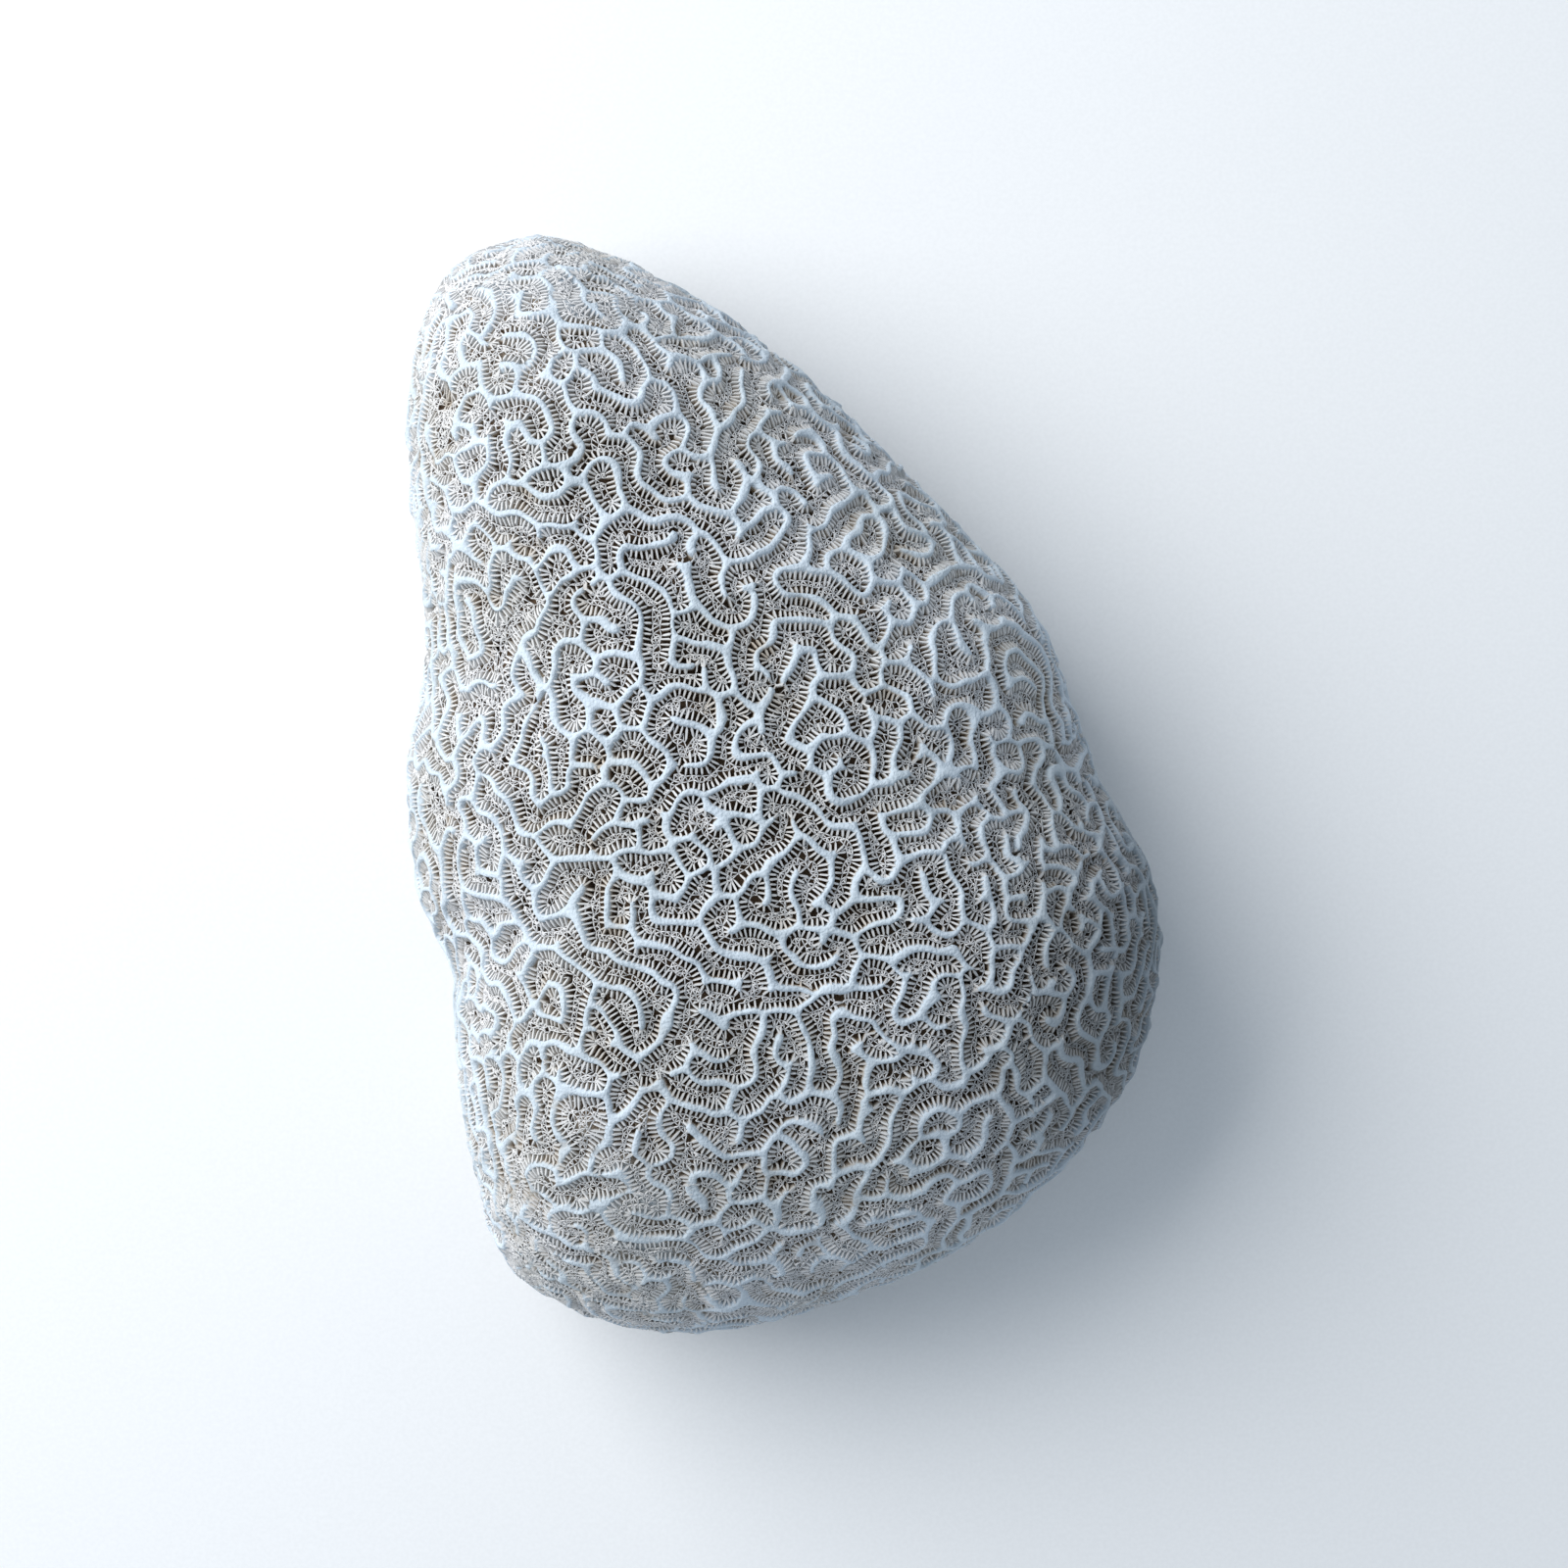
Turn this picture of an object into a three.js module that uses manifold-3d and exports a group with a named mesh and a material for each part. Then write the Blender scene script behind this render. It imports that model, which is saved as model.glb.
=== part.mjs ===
// Brain coral: the bleached skeleton of a domed stony coral colony, sawn off flat underneath.
//
// The colony grew as one piece, so it is one solid and one node. Its skin is the level of the wall
// crests: the valleys, septa and columellae sit inside it. Seen from above it is a tall teardrop with
// a thumb at the top left, a broad foot, and a shoulder lobe at the right. Every vertical section
// through the crown has the same kind of profile: a flattened dome down to a waist, then an edge that
// curls in under the colony until the saw cut at z = 0.
//
// Millimetres, +Z up, +Y along the colony, origin at the middle of the saw cut.
import * as THREE from "three";
import { mergeVertices } from "three/addons/utils/BufferGeometryUtils.js";
import Module from "manifold-3d";

// ---- driving dimensions ----
const CROWN_HEIGHT = 62; // saw cut to the top of the dome, before the lumps
const WAIST_HEIGHT = 18; // height of the widest section
const UNDERCURL = 36; // depth the edge would curl in below the waist if it had not been sawn
const SQUARENESS = 2.3; // superellipse power of the profile: 2 is an ellipse, more is boxier
const CROWN = new THREE.Vector2(-8, -4); // plan position of the crown, which the growth radiates from

// The widest section in plan, counter-clockwise from the tip of the thumb.
const WAIST_OUTLINE = [
  [-34, 84.6],
  [-46.5, 83],
  [-54.5, 75.5],
  [-58, 62],
  [-57.9, 46],
  [-55.9, 27],
  [-55.9, 15.5],
  [-58.2, 5],
  [-58.1, -6],
  [-56.2, -18],
  [-51.6, -28.5],
  [-51, -38],
  [-48.6, -57],
  [-43.4, -73],
  [-32, -82],
  [-16, -85],
  [2, -82.4],
  [26, -72.8],
  [43.5, -59],
  [54, -44.5],
  [58.3, -27],
  [56.4, -13],
  [48.8, 1.5],
  [44.2, 14],
  [38.4, 27.5],
  [25, 42.2],
  [10.4, 56.6],
  [-2, 67.6],
  [-16, 76.8],
];

// Soft lumps of the crown, as plan position, radius and rise. A negative rise is a hollow.
const LUMPS = [
  { at: [-40, 60], radius: 24, rise: 3 }, // thumb
  { at: [-27, -58], radius: 22, rise: 2.5 }, // foot
  { at: [37, -31], radius: 21, rise: 3.5 }, // shoulder lobe
  { at: [38, 0], radius: 14, rise: -2 }, // saddle above the shoulder lobe
  { at: [-47, 22], radius: 13, rise: -1.2 }, // waist of the left side
  { at: [-50, -28], radius: 9, rise: -2 }, // notch of the left side
];
const LUMP_FADE = 0.6; // the lumps die out between this height share and the waist

// ---- mesh fineness ----
const OUTLINE_STEPS = 720; // points that the waist outline's spline is sampled at
const SPHERE_DETAIL = 21; // subdivisions of each icosahedron edge
const SAW_MARGIN = 40; // how far the sawn-off block reaches beyond the colony

// ---- shape ----

// Plan radius from the crown at an angle, from a closed spline through the waist outline.
function waistRadius() {
  const points = WAIST_OUTLINE.map(([x, y]) => new THREE.Vector3(x, y, 0));
  const curve = new THREE.CatmullRomCurve3(points, true, "catmullrom", 0.5);
  const rim = curve
    .getPoints(OUTLINE_STEPS)
    .slice(1)
    .map((p) => new THREE.Vector2(p.x, p.y).sub(CROWN))
    .map((p) => ({ angle: p.angle(), radius: p.length() }))
    .sort((a, b) => a.angle - b.angle);
  return (angle) => {
    const after = rim.findIndex((p) => p.angle > angle);
    const high = rim[after < 0 ? 0 : after];
    const low = rim.at(after - 1);
    const gap = THREE.MathUtils.euclideanModulo(high.angle - low.angle, 2 * Math.PI);
    const share = THREE.MathUtils.euclideanModulo(angle - low.angle, 2 * Math.PI) / gap;
    return THREE.MathUtils.lerp(low.radius, high.radius, share);
  };
}

// Height that the lumps add at a plan position.
function lumpHeight(x, y) {
  return LUMPS.reduce((sum, { at, radius, rise }) => {
    const away = Math.hypot(x - at[0], y - at[1]) / radius;
    return sum + rise * Math.exp(-away * away);
  }, 0);
}

// Point of the colony's skin in the direction of a unit vector.
function skinPoint(direction, radiusAt) {
  const across = Math.hypot(direction.x, direction.y);
  const up = direction.z;
  const reach = (across ** SQUARENESS + Math.abs(up) ** SQUARENESS) ** (-1 / SQUARENESS);
  const outShare = across * reach;
  const upShare = up * reach;
  const angle = THREE.MathUtils.euclideanModulo(Math.atan2(direction.y, direction.x), 2 * Math.PI);
  const radius = radiusAt(angle) * outShare;
  const x = CROWN.x + radius * Math.cos(angle);
  const y = CROWN.y + radius * Math.sin(angle);
  const rise = upShare > 0 ? CROWN_HEIGHT - WAIST_HEIGHT : UNDERCURL;
  const lumps = lumpHeight(x, y) * THREE.MathUtils.smoothstep(upShare, 0, LUMP_FADE);
  return new THREE.Vector3(x, y, WAIST_HEIGHT + rise * upShare + lumps);
}

// The whole rounded colony, as if it had never been sawn: a fine ball pushed out to the skin, and
// moved so that the middle of its plan is on the Z axis.
function wholeColony() {
  const geometry = new THREE.IcosahedronGeometry(1, SPHERE_DETAIL);
  const position = geometry.getAttribute("position");
  const radiusAt = waistRadius();
  const direction = new THREE.Vector3();
  for (let i = 0; i < position.count; i++) {
    direction.fromBufferAttribute(position, i).normalize();
    const point = skinPoint(direction, radiusAt);
    position.setXYZ(i, point.x, point.y, point.z);
  }
  geometry.computeBoundingBox();
  const middle = geometry.boundingBox.getCenter(new THREE.Vector3());
  return geometry.translate(-middle.x, -middle.y, 0);
}

// The block below the saw cut of a geometry that is centred on the Z axis.
function belowTheCut(geometry) {
  geometry.computeBoundingBox();
  const span = geometry.boundingBox.getSize(new THREE.Vector3()).addScalar(SAW_MARGIN);
  return new THREE.BoxGeometry(span.x, span.y, span.z).translate(0, 0, -span.z / 2);
}

// ---- solids ----

const wasm = await Module();
wasm.setup();

function toSolid(geometry) {
  const bare = geometry.clone();
  bare.deleteAttribute("normal");
  bare.deleteAttribute("uv");
  const merged = mergeVertices(bare, 1e-3);
  return new wasm.Manifold(
    new wasm.Mesh({
      numProp: 3,
      vertProperties: new Float32Array(merged.getAttribute("position").array),
      triVerts: new Uint32Array(merged.index.array),
    }),
  );
}

function toGeometry(solid) {
  const mesh = solid.getMesh();
  const geometry = new THREE.BufferGeometry();
  geometry.setAttribute("position", new THREE.BufferAttribute(mesh.vertProperties, mesh.numProp));
  geometry.setIndex(new THREE.BufferAttribute(mesh.triVerts, 1));
  geometry.computeVertexNormals();
  return geometry;
}

const skeleton = new THREE.MeshStandardMaterial({ color: 0xc9ced0, roughness: 0.9, metalness: 0 });

const colony = wholeColony();
const coral = new THREE.Mesh(
  toGeometry(toSolid(colony).subtract(toSolid(belowTheCut(colony)))),
  skeleton,
);
coral.name = "coral";

const part = new THREE.Group();
part.add(coral);

export default part;
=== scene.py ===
# %% [markdown]
# # A bleached brain coral
#
# This lesson makes the skeleton of a brain coral colony that was sawn off its rock and dried white.
# Seen close up, such a skeleton has three things on it, and each is made as real geometry here:
#
# - walls: smooth rounded ridges that wander over the whole dome and leave meandering valleys,
# - septa: thin upright plates that stand across each valley like the rungs of a ladder,
# - columella: a loose mesh of tiny threads along the middle of each valley.
#
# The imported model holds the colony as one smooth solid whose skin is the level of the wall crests.
# Everything below is carved down from that skin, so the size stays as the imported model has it, to
# a fraction of a millimetre. Lengths are in millimetres, and each mesh is turned into metres as it
# is made.

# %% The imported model
import bmesh
import bpy
import numpy as np
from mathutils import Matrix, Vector
from mathutils.geometry import delaunay_2d_cdt


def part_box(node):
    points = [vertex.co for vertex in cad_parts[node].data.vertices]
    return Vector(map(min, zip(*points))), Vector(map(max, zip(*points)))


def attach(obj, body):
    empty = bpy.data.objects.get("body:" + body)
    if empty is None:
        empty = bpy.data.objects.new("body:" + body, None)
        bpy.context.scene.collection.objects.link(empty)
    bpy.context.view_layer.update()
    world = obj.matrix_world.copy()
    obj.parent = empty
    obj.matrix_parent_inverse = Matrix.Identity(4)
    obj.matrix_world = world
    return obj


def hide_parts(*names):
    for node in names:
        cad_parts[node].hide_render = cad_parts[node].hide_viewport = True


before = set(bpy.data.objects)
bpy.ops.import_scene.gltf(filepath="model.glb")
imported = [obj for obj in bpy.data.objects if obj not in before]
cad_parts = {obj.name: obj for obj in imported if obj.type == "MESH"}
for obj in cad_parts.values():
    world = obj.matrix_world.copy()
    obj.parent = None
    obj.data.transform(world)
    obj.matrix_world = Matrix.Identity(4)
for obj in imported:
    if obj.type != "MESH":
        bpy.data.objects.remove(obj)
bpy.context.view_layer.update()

MM = 0.001
CORAL_LOW, CORAL_HIGH = (np.array(corner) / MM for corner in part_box("coral"))
print("coral from", CORAL_LOW.round(2), "to", CORAL_HIGH.round(2), "mm")

# %% [markdown]
# ## The skin of the colony
#
# The colony is a lopsided dome. It could be sculpted, but a formula is exact and can be asked for a
# point anywhere. Each vertical section through the crown is the same superellipse: it rises from a
# waist to the crown, and below the waist it curls in under the colony. How far the waist lies from
# the crown depends only on the compass angle, and a closed curve through a few points gives it.
# A few soft lumps are added on top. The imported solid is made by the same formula.

# %% The skin's driving sizes
CROWN = np.array([-8.0, -4.0])
CROWN_HEIGHT = 62.0
WAIST_HEIGHT = 18.0
UNDERCURL = 36.0
SQUARENESS = 2.3
WAIST_OUTLINE = np.array([
    (-34, 84.6), (-46.5, 83), (-54.5, 75.5), (-58, 62), (-57.9, 46), (-55.9, 27), (-55.9, 15.5),
    (-58.2, 5), (-58.1, -6), (-56.2, -18), (-51.6, -28.5), (-51, -38), (-48.6, -57), (-43.4, -73),
    (-32, -82), (-16, -85), (2, -82.4), (26, -72.8), (43.5, -59), (54, -44.5), (58.3, -27),
    (56.4, -13), (48.8, 1.5), (44.2, 14), (38.4, 27.5), (25, 42.2), (10.4, 56.6), (-2, 67.6),
    (-16, 76.8)])
# x, y, radius and rise of each soft lump
LUMPS = [(-40, 60, 24, 3.0), (-27, -58, 22, 2.5), (37, -31, 21, 3.5), (38, 0, 14, -2.0),
         (-47, 22, 13, -1.2), (-50, -28, 9, -2.0)]
LUMP_FADE = 0.6

# %% The waist curve
SPLINE_STEPS = 24
TURN = 2 * np.pi


def closed_curve(points):
    """Uniform Catmull-Rom curve through a closed list of points: each piece is the cubic that
    leaves a point and meets the next with slopes of half the step across its neighbours."""
    before, here, after, beyond = (np.roll(points, -k, axis=0)[:, None] for k in (-1, 0, 1, 2))
    t = (np.arange(SPLINE_STEPS) / SPLINE_STEPS)[None, :, None]
    slope = after - before
    bend = 2 * before - 5 * here + 4 * after - beyond
    twist = beyond - before + 3 * (here - after)
    return (here + 0.5 * (slope * t + bend * t**2 + twist * t**3)).reshape(-1, 2)


waist = closed_curve(WAIST_OUTLINE) - CROWN
waist_angle = np.arctan2(waist[:, 1], waist[:, 0]) % TURN
by_angle = np.argsort(waist_angle)
WAIST_ANGLES = waist_angle[by_angle]
WAIST_RADII = np.hypot(*waist[by_angle].T)
PLAN_MIDDLE = (waist.min(0) + waist.max(0)) / 2 + CROWN
print("waist is", np.ptp(waist, axis=0).round(2), "mm across")


# %% A point of the skin
def smooth_share(x, low, high):
    """0 below low, 1 above high, and the cubic 3t2 - 2t3 between."""
    t = np.clip((x - low) / (high - low), 0, 1)
    return t * t * (3 - 2 * t)


def skin(compass, fall):
    """Point of the skin at a compass angle and a fall angle from straight up. The superellipse
    gives the shares of the waist radius and of the height, and Gaussian lumps are added."""
    across, up = np.sin(fall), np.cos(fall)
    reach = (across**SQUARENESS + np.abs(up)**SQUARENESS) ** (-1 / SQUARENESS)
    out_share, up_share = across * reach, up * reach
    radius = np.interp(compass, WAIST_ANGLES, WAIST_RADII, period=TURN) * out_share
    x = CROWN[0] + radius * np.cos(compass)
    y = CROWN[1] + radius * np.sin(compass)
    rise = np.where(up_share > 0, CROWN_HEIGHT - WAIST_HEIGHT, UNDERCURL)
    lumps = sum(tall * np.exp(-((x - u)**2 + (y - v)**2) / wide**2) for u, v, wide, tall in LUMPS)
    z = WAIST_HEIGHT + rise * up_share + lumps * smooth_share(up_share, 0, LUMP_FADE)
    return np.stack([x - PLAN_MIDDLE[0], y - PLAN_MIDDLE[1], z], -1)


# %% [markdown]
# ## A flat chart of the skin
#
# The walls are easiest to grow on a flat grid. Any flat map of a dome stretches it, so the map has
# to be one whose stretch is known. Here a chart point's direction is the compass angle and its
# distance from the middle is the real length walked down the skin from the crown. Going down, the
# chart is true to scale; going round, it is too wide near the rim, and the growth rule below
# corrects for that. The chart runs a little past the saw cut, so that the cut goes through
# finished walls.

# %% Walking down the skin
COMPASS_STEPS = 720
FALL_STEPS = 400
WALK_STEPS = 600
FALL_END = 0.72 * np.pi
PAST_THE_CUT = 4.0

compass_rows = np.arange(COMPASS_STEPS + 1) / COMPASS_STEPS * TURN
fall_columns = np.linspace(0, FALL_END, FALL_STEPS)
meridians = skin(compass_rows[:, None], fall_columns[None, :])
strides = np.linalg.norm(np.diff(meridians, axis=1), axis=2)
walked = np.concatenate([np.zeros((COMPASS_STEPS + 1, 1)), np.cumsum(strides, 1)], 1)
# from here on every section only goes down, so its height can be looked up
going_down = slice(FALL_STEPS // 4, None)
WALK_TO_CUT = np.array([np.interp(0, -line[going_down, 2], walk[going_down])
                        for line, walk in zip(meridians, walked)])
RIM_WALK = WALK_TO_CUT + PAST_THE_CUT
LONGEST_WALK = RIM_WALK.max()
walk_columns = np.linspace(0, LONGEST_WALK, WALK_STEPS)
FALL_AT_WALK = np.array([np.interp(np.minimum(walk_columns, rim), walk, fall_columns)
                         for walk, rim in zip(walked, RIM_WALK)])
print("walk from crown to cut:", WALK_TO_CUT.min().round(1), "to", WALK_TO_CUT.max().round(1), "mm")


# %% Chart to skin
def rim_walk(compass):
    """Length walked from the crown to the chart's rim, at a compass angle."""
    return np.interp(compass, compass_rows, RIM_WALK)


def place(chart):
    """Point of the skin for chart points: the compass angle and the walked length give the fall
    angle from a table, by straight-line blending of its four nearest entries. Past the chart's
    rim the skin carries on straight down as a curtain."""
    a, b = chart[..., 0], chart[..., 1]
    compass = np.arctan2(b, a) % TURN
    walk = np.hypot(a, b)
    row = compass / TURN * COMPASS_STEPS
    column = np.minimum(walk / LONGEST_WALK, 1) * (WALK_STEPS - 1)
    i = np.minimum(row.astype(int), COMPASS_STEPS - 1)
    j = np.minimum(column.astype(int), WALK_STEPS - 2)
    p, q = row - i, column - j
    fall = ((1 - p) * ((1 - q) * FALL_AT_WALK[i, j] + q * FALL_AT_WALK[i, j + 1])
            + p * ((1 - q) * FALL_AT_WALK[i + 1, j] + q * FALL_AT_WALK[i + 1, j + 1]))
    points = skin(compass, fall)
    points[..., 2] -= np.maximum(walk - rim_walk(compass), 0)
    return points


RIM_LINE = np.stack([RIM_WALK * np.cos(compass_rows), RIM_WALK * np.sin(compass_rows)], -1)
CHART_MARGIN = 2.0
CHART_LOW = RIM_LINE.min(0) - CHART_MARGIN
CHART_HIGH = RIM_LINE.max(0) + CHART_MARGIN
print("chart is", (CHART_HIGH - CHART_LOW).round(1), "mm")


# %% A grid on the chart, with its stretch
MIN_SPREAD = 0.02
COARSE_PITCH = 0.85
FINE_PITCH = 0.34
# a little more than one step, so that the last place that is read still has a next grid point
LAST_STEP = 1.001


class ChartGrid:
    """Grid of chart points with their places on the skin. Its stretch is the usual first
    fundamental form: E, F and G are the dot products of the skin's steps along a and b."""

    def __init__(self, pitch):
        self.pitch = pitch
        self.a = np.arange(CHART_LOW[0], CHART_HIGH[0] + pitch, pitch)
        self.b = np.arange(CHART_LOW[1], CHART_HIGH[1] + pitch, pitch)
        self.chart = np.stack(np.meshgrid(self.a, self.b, indexing="ij"), -1)
        self.points = place(self.chart)
        along_a, along_b = (np.gradient(self.points, pitch, axis=k) for k in (0, 1))
        self.E = (along_a**2).sum(-1)
        self.F = (along_a * along_b).sum(-1)
        self.G = (along_b**2).sum(-1)
        self.spread = np.sqrt(np.maximum(self.E * self.G - self.F**2, MIN_SPREAD))
        normals = np.cross(along_a, along_b)
        self.normals = normals / np.linalg.norm(normals, axis=-1, keepdims=True)

    def slopes(self, field):
        """Plain slopes of a field along the chart's two directions."""
        return (np.gradient(field, self.pitch, axis=k) for k in (0, 1))

    def steepness(self, field):
        """Slope of a field in real millimetres: the gradient's length under the stretch."""
        fa, fb = self.slopes(field)
        squared = self.G * fa**2 - 2 * self.F * fa * fb + self.E * fb**2
        return np.sqrt(np.maximum(squared, 0)) / self.spread

    def cell_of(self, chart):
        """Row and column of the grid point nearest to each chart point."""
        return np.round((chart - [self.a[0], self.b[0]]) / self.pitch).astype(int).T

    def read(self, field, chart):
        """Value of a grid field at chart points, blended from its four nearest grid points."""
        x = np.clip((chart[..., 0] - self.a[0]) / self.pitch, 0, len(self.a) - LAST_STEP)
        y = np.clip((chart[..., 1] - self.b[0]) / self.pitch, 0, len(self.b) - LAST_STEP)
        i, j = x.astype(int), y.astype(int)
        p, q = x - i, y - j
        if field.ndim == 3:
            p, q = p[..., None], q[..., None]
        return ((1 - p) * ((1 - q) * field[i, j] + q * field[i, j + 1])
                + p * ((1 - q) * field[i + 1, j] + q * field[i + 1, j + 1]))


coarse = ChartGrid(COARSE_PITCH)
fine = ChartGrid(FINE_PITCH)
print("grids:", coarse.spread.shape, "and", fine.spread.shape)

# %% [markdown]
# ## Growing the maze
#
# A brain coral's maze could be drawn by hand or cut from a noise texture, but noise gives blots, not
# even valleys. Living mazes are thought to come from two signals: a short-range one that helps a
# wall grow and a longer-range one that holds the next wall off. Blurring a random field by a short
# and by a long distance and taking the difference is exactly that. Doing it again and again turns
# any start into a maze with one wall spacing. The blur is heat flow on the skin itself, so the
# spacing is even on the steep sides too. Only on the shoulder lobe does the colony have closer
# walls, and there the heat is made to flow more slowly.

# %% Heat flow on the skin
MAX_STRETCH = 6.0
# the longest time step is this share of pitch squared over the fastest flow, or the sums run wild
STEADY_SHARE = 0.45
# the shoulder lobe: middle, reach, and how much finer its pattern is
LOBE_MIDDLE = (47.0, -12.0)
LOBE_REACH = 21.0
LOBE_FINER = 0.30


def finer(points):
    """How many times closer the walls stand: 1, and more on the shoulder lobe."""
    away = np.hypot(points[..., 0] - LOBE_MIDDLE[0], points[..., 1] - LOBE_MIDDLE[1])
    return 1 + LOBE_FINER * np.exp(-(away / LOBE_REACH)**2)


class SkinBlur:
    """Heat flow on a chart grid: small steps of the Laplace-Beltrami rule, which is the divergence
    of the stretched gradient over the area spread. Blurring for a time t spreads each point by a
    Gaussian of width sqrt(2t), and by less where the pattern has to be finer."""

    def __init__(self, grid):
        raise_a, raise_b, raise_ab = (x / grid.spread**2 for x in (grid.G, grid.E, -grid.F))
        raise_a, raise_b = np.minimum(raise_a, MAX_STRETCH), np.minimum(raise_b, MAX_STRETCH)
        raise_ab = np.clip(raise_ab, -MAX_STRETCH / 2, MAX_STRETCH / 2)
        pitch2 = grid.pitch**2
        flow_a, flow_b = grid.spread * raise_a / pitch2, grid.spread * raise_b / pitch2
        self.flow_a = (0.5 * (flow_a[1:] + flow_a[:-1])).astype(np.float32)
        self.flow_b = (0.5 * (flow_b[:, 1:] + flow_b[:, :-1])).astype(np.float32)
        self.cross = (grid.spread * raise_ab / (4 * pitch2)).astype(np.float32)
        self.thin = (1 / (grid.spread * finer(grid.points)**2)).astype(np.float32)
        self.longest_step = STEADY_SHARE * pitch2 / (raise_a + raise_b).max()

    def blur(self, field, time):
        """Lets a field flow for a time: in each small step every cell gains what comes in through
        its sides, less what goes out, and the skewed stretch adds a cross flow."""
        steps = int(np.ceil(time / self.longest_step))
        for _ in range(steps):
            gain = np.zeros_like(field)
            drift = self.flow_a * np.diff(field, axis=0)
            gain[:-1] += drift
            gain[1:] -= drift
            drift = self.flow_b * np.diff(field, axis=1)
            gain[:, :-1] += drift
            gain[:, 1:] -= drift
            skew = self.cross[:, 1:-1] * (field[:, 2:] - field[:, :-2])
            gain[1:-1, 1:-1] += skew[2:] - skew[:-2]
            skew = self.cross[1:-1] * (field[2:] - field[:-2])
            gain[1:-1, 1:-1] += skew[:, 2:] - skew[:, :-2]
            field = field + gain * self.thin * np.float32(time / steps)
        return field


# %% The maze
WALL_SPACING = 4.12
SEED = 11
HELP_REACH = 0.18 * WALL_SPACING
HOLD_REACH = 1.6 * HELP_REACH
WALL_GAIN = 2.0
WALL_BIAS = 0.17
COARSE_ROUNDS = 14


def grow(field, blur, rounds):
    """Each round takes the short blur less the long one, scales it by its own spread, leans it a
    little towards wall, and presses it between -1 (valley) and 1 (wall)."""
    help_time, hold_time = HELP_REACH**2 / 2, HOLD_REACH**2 / 2
    for _ in range(rounds):
        near = blur.blur(field, help_time)
        push = near - blur.blur(near, hold_time - help_time)
        field = np.tanh(WALL_GAIN * push / push.std() + WALL_BIAS)
    return field


start = np.random.default_rng(SEED).normal(size=coarse.spread.shape).astype(np.float32)
coarse_blur = SkinBlur(coarse)
maze = grow(start, coarse_blur, COARSE_ROUNDS)
print("maze grown:", (maze > 0).mean().round(3), "of it is wall side")

# %% [markdown]
# ## Lone walls and closed valleys
#
# The walls of a real colony hang together: hardly one stands alone like an island, and hardly a
# valley is closed all round and tiny. Picking them out by hand would never end, so their areas
# decide: every connected patch of wall or of valley gets one number, its area is added up, and what
# is too small is turned into its opposite. A few more rounds let the neighbours grow into the gap.

# %% Lone walls and closed valleys
SMALLEST_WALL = 40.0
SMALLEST_VALLEY = 7.0


def patches(mask):
    """One shared number for all cells of each connected patch of a mask: each cell takes the
    highest number among its neighbours, then the number that this number's cell holds."""
    name = np.where(mask, np.arange(mask.size).reshape(mask.shape), -1)
    while True:
        best = name.copy()
        for near, far in ((np.s_[1:], np.s_[:-1]), (np.s_[:-1], np.s_[1:]),
                          (np.s_[:, 1:], np.s_[:, :-1]), (np.s_[:, :-1], np.s_[:, 1:])):
            best[near] = np.maximum(best[near], name[far])
        best = np.where(mask, best, -1)
        best[mask] = best.ravel()[best[mask]]
        if (best == name).all():
            return name
        name = best


def small_patches(mask, grid, smallest):
    """The cells of those connected patches whose area in mm2 is below the smallest."""
    name = patches(mask)
    area = np.bincount(name[mask], (grid.spread * grid.pitch**2)[mask], mask.size)
    return mask & (area[name] < smallest)


def wipe_out_small(field, grid):
    """Turns short lone walls into valley and tiny closed valleys into wall."""
    lone = small_patches(field > 0, grid, SMALLEST_WALL)
    tiny = small_patches(field < 0, grid, SMALLEST_VALLEY)
    print(lone.sum(), "cells of lone wall and", tiny.sum(), "of tiny valleys wiped out")
    return np.where(lone, -1, np.where(tiny, 1, field)).astype(np.float32)


# %% Wiping out and growing again
WIPES = 3
REGROW_ROUNDS = 4
FINE_ROUNDS = 4
# time of the last blur, as a share of the short reach squared
LAST_BLUR = 0.45

for _ in range(WIPES):
    maze = grow(wipe_out_small(maze, coarse), coarse_blur, REGROW_ROUNDS)
fine_blur = SkinBlur(fine)
maze = grow(coarse.read(maze, fine.chart).astype(np.float32), fine_blur, FINE_ROUNDS)
maze = fine_blur.blur(wipe_out_small(maze, fine), LAST_BLUR * HELP_REACH**2)
print("maze on the fine grid:", (maze > 0).mean().round(3), "of it is wall side")

# %% [markdown]
# ## Small wanderings
#
# A computed maze is too tidy: no coral wall runs as evenly as a drawn line. The cure is a smooth
# wandering field that shifts, thickens or thins whatever reads it. Blender's noise functions take
# one point at a time, so this one is a sum of plane waves in random directions, which is a single
# matrix product for any number of points.

# %% A wandering field
WAVES = 28
WAVE_RANGE = (0.6, 1.4)


def wander(points, size, seed):
    """Smooth random field of spread 1: the sum of cosine waves of about one length in random
    directions and phases, divided by the square root of half their number."""
    rng = np.random.default_rng(seed)
    heading = rng.normal(size=(3, WAVES))
    heading /= np.linalg.norm(heading, axis=0)
    heading *= TURN / size * rng.uniform(*WAVE_RANGE, WAVES)
    phase = rng.uniform(0, TURN, WAVES)
    return np.cos(points @ heading + phase).sum(-1) / np.sqrt(WAVES / 2)


# %% Bending the maze
BEND_SIZE = 6.0
BEND = 0.45
RAGGED_SIZE = 3.2
RAGGED = 0.05

shift = np.stack([wander(fine.points, BEND_SIZE, 21), wander(fine.points, BEND_SIZE, 22)], -1)
maze = fine.read(maze, fine.chart + BEND * shift)
maze = maze + RAGGED * wander(fine.points, RAGGED_SIZE, 23)
beyond_rim = np.hypot(*np.moveaxis(fine.chart, -1, 0)) - rim_walk(
    np.arctan2(fine.chart[..., 1], fine.chart[..., 0]) % TURN)

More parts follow.
